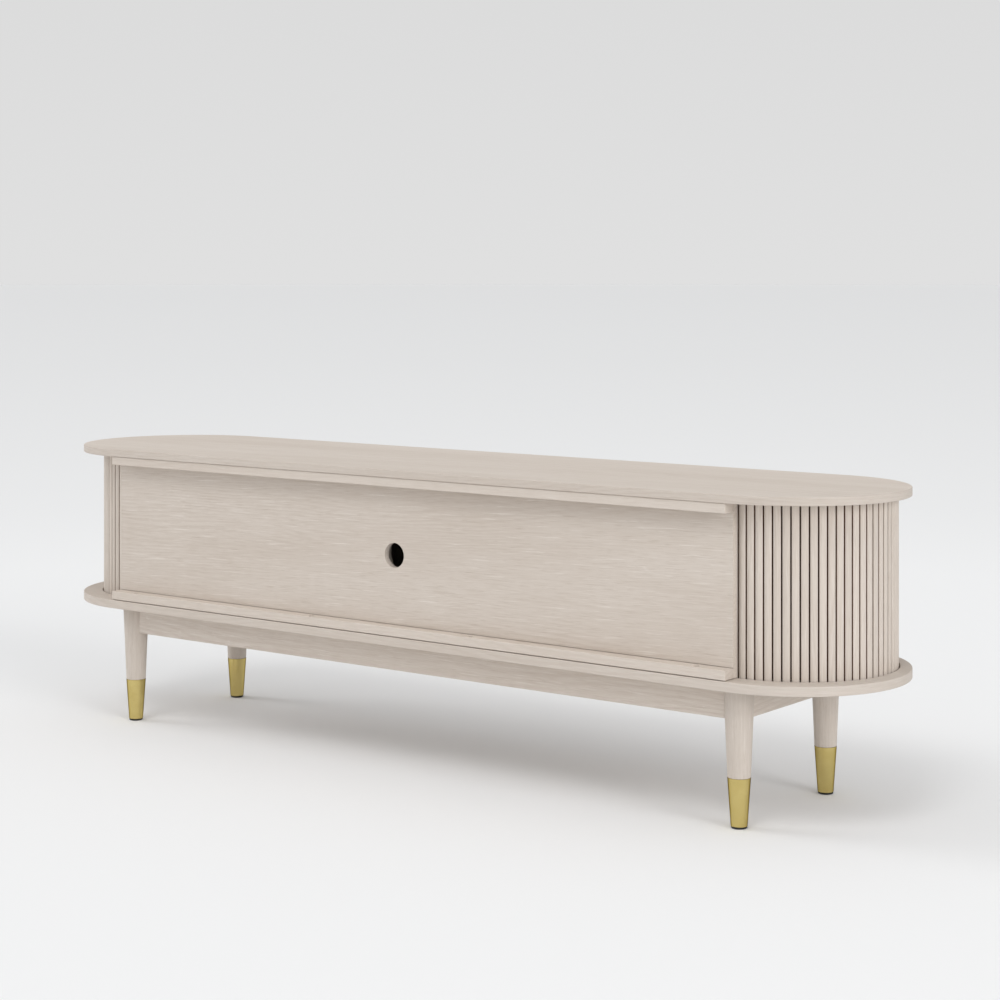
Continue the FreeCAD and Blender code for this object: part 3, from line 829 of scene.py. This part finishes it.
# ---- stage, light and camera -----------------------------------------------
# Painted light: the floor's tone against reach, which is 0 under the cabinet and 1/2 at
# FLOOR_HALF_REACH; the floor is painted darker far off, in place of light that falls off with distance.
FLOOR_RADIUS = 90.0
FLOOR_HALF_REACH = 6.0
FLOOR_TINT = (0.994, 1.0, 1.007)
FLOOR_PAINTED_FALLOFF = [(0.0, 0.895), (0.2, 0.895), (0.31, 0.890), (0.42, 0.848), (0.57, 0.817),
               (0.73, 0.788), (0.9, 0.768)]

# The backdrop's tone at the horizon and above SKY_RISE; the studio's at the horizon and overhead.
SKY_LOW, SKY_HIGH = 0.745, 0.715
SKY_RISE = 0.12
STUDIO_LOW, STUDIO_HIGH = 0.56, 0.73

# What metal mirrors is darker towards this side, from and to these shares of it.
DIM_SIDE = (-0.4, -0.92, 0.0)
DIM_FROM, DIM_TO = -0.25, 0.55
DIM_TONE = 0.10

# Name, where it comes from, angle across and strength of each distant light.
SUNS = [
    ("key", (-0.10, 0.55, 0.80), 0.36, 0.47),
    ("left_side", (0.83, 0.22, 0.33), 0.45, 0.81),
    ("right_side", (-0.83, 0.22, 0.33), 0.45, 0.84),
]
FILL_PLACE = (-4.0, 3.5, 1.3)
FILL_AIM = (-0.2, 0.0, 0.3)
FILL_SIZE = (2.6, 1.6)
FILL_POWER = 22.0

CAMERA_PLACE = (-2.488, 3.163, 0.902)
CAMERA_TURN = 217.01
SENSOR_WIDTH = 36.0
LENS = 78.70
SHIFT_Y = -0.2365


def build_stage():
    """A wide pale floor, painted a little darker far from the cabinet, in place of light that falls
    off.
    """
    mesh = bpy.data.meshes.new("floor")
    work = bmesh.new()
    bmesh.ops.create_circle(work, cap_ends=True, radius=FLOOR_RADIUS, segments=96)
    work.to_mesh(mesh)
    work.free()
    s = Shader("floor_white")
    length = s.vector("LENGTH", s.coordinates())
    reach = s.math("DIVIDE", length, s.math("ADD", length, FLOOR_HALF_REACH))
    stops = [(stop, tuple(tint * tone for tint in FLOOR_TINT)) for stop, tone in FLOOR_PAINTED_FALLOFF]
    s.set(Base_Color=s.ramp(reach, stops), Roughness=0.9, Specular_IOR_Level=0.1)
    mesh.materials.append(s.material)
    in_scene("floor", mesh)


def soft_sun(name, source, spread, strength):
    """A broad, distant light that comes from a direction."""
    data = bpy.data.lights.new(name, "SUN")
    data.angle = spread
    data.energy = strength
    light = in_scene(name, data)
    light.rotation_euler = Vector(source).to_track_quat("Z", "Y").to_euler()


def rear_fill():
    """A low, wide light before the rear panel, beyond its left-hand end."""
    data = bpy.data.lights.new("rear_fill", "AREA")
    data.shape = "RECTANGLE"
    data.size, data.size_y = FILL_SIZE
    data.energy = FILL_POWER
    light = in_scene("rear_fill", data)
    light.location = FILL_PLACE
    light.rotation_euler = (Vector(FILL_AIM) - Vector(FILL_PLACE)).to_track_quat("-Z", "Y").to_euler()
    light.visible_camera = False


def build_light():
    """An even studio all round, broad distant lights, and one low light for the rear."""
    world = bpy.data.worlds.new("studio")
    bpy.context.scene.world = world
    world.use_nodes = True
    w = Nodes(world.node_tree)
    background = world.node_tree.nodes["Background"]
    ray = w.coordinates("Generated")
    split = w.add("ShaderNodeSeparateXYZ")
    w.link(ray, split.inputs[0])
    up = split.outputs["Z"]
    sky = w.spread(up, 0.0, SKY_RISE, SKY_LOW, SKY_HIGH, "LINEAR")
    studio = w.spread(up, 0.0, 1.0, STUDIO_LOW, STUDIO_HIGH, "LINEAR")
    facing = w.vector("DOT_PRODUCT", ray, DIM_SIDE)
    mirrored = w.spread(facing, DIM_FROM, DIM_TO, studio, DIM_TONE)
    path = w.add("ShaderNodeLightPath").outputs
    around = w.mix(path["Is Glossy Ray"], studio, mirrored, kind="FLOAT")
    w.link(w.mix(path["Is Camera Ray"], around, sky, kind="FLOAT"), background.inputs["Strength"])
    background.inputs["Color"].default_value = (1, 1, 1, 1)
    for sun in SUNS:
        soft_sun(*sun)
    rear_fill()
    bpy.context.scene.view_settings.view_transform = "Standard"


def build_camera():
    """The camera of the three-quarter rear view, level, with a vertical shift."""
    data = bpy.data.cameras.new("camera")
    data.sensor_width = SENSOR_WIDTH
    data.lens = LENS
    data.shift_y = SHIFT_Y
    camera = in_scene("camera", data)
    camera.location = CAMERA_PLACE
    camera.rotation_euler = (math.radians(90), 0, math.radians(CAMERA_TURN))
    bpy.context.scene.camera = camera


board("top_board", "top_panel", top_low.z, top_high.z, False, OAK_TOP)
board("base_board", "base_panel", base_low.z, base_high.z, True, OAK_BASE)
rear_panel()
battens()
build_tambour()
build_legs()
paint_all()
build_stage()
build_light()
build_camera()
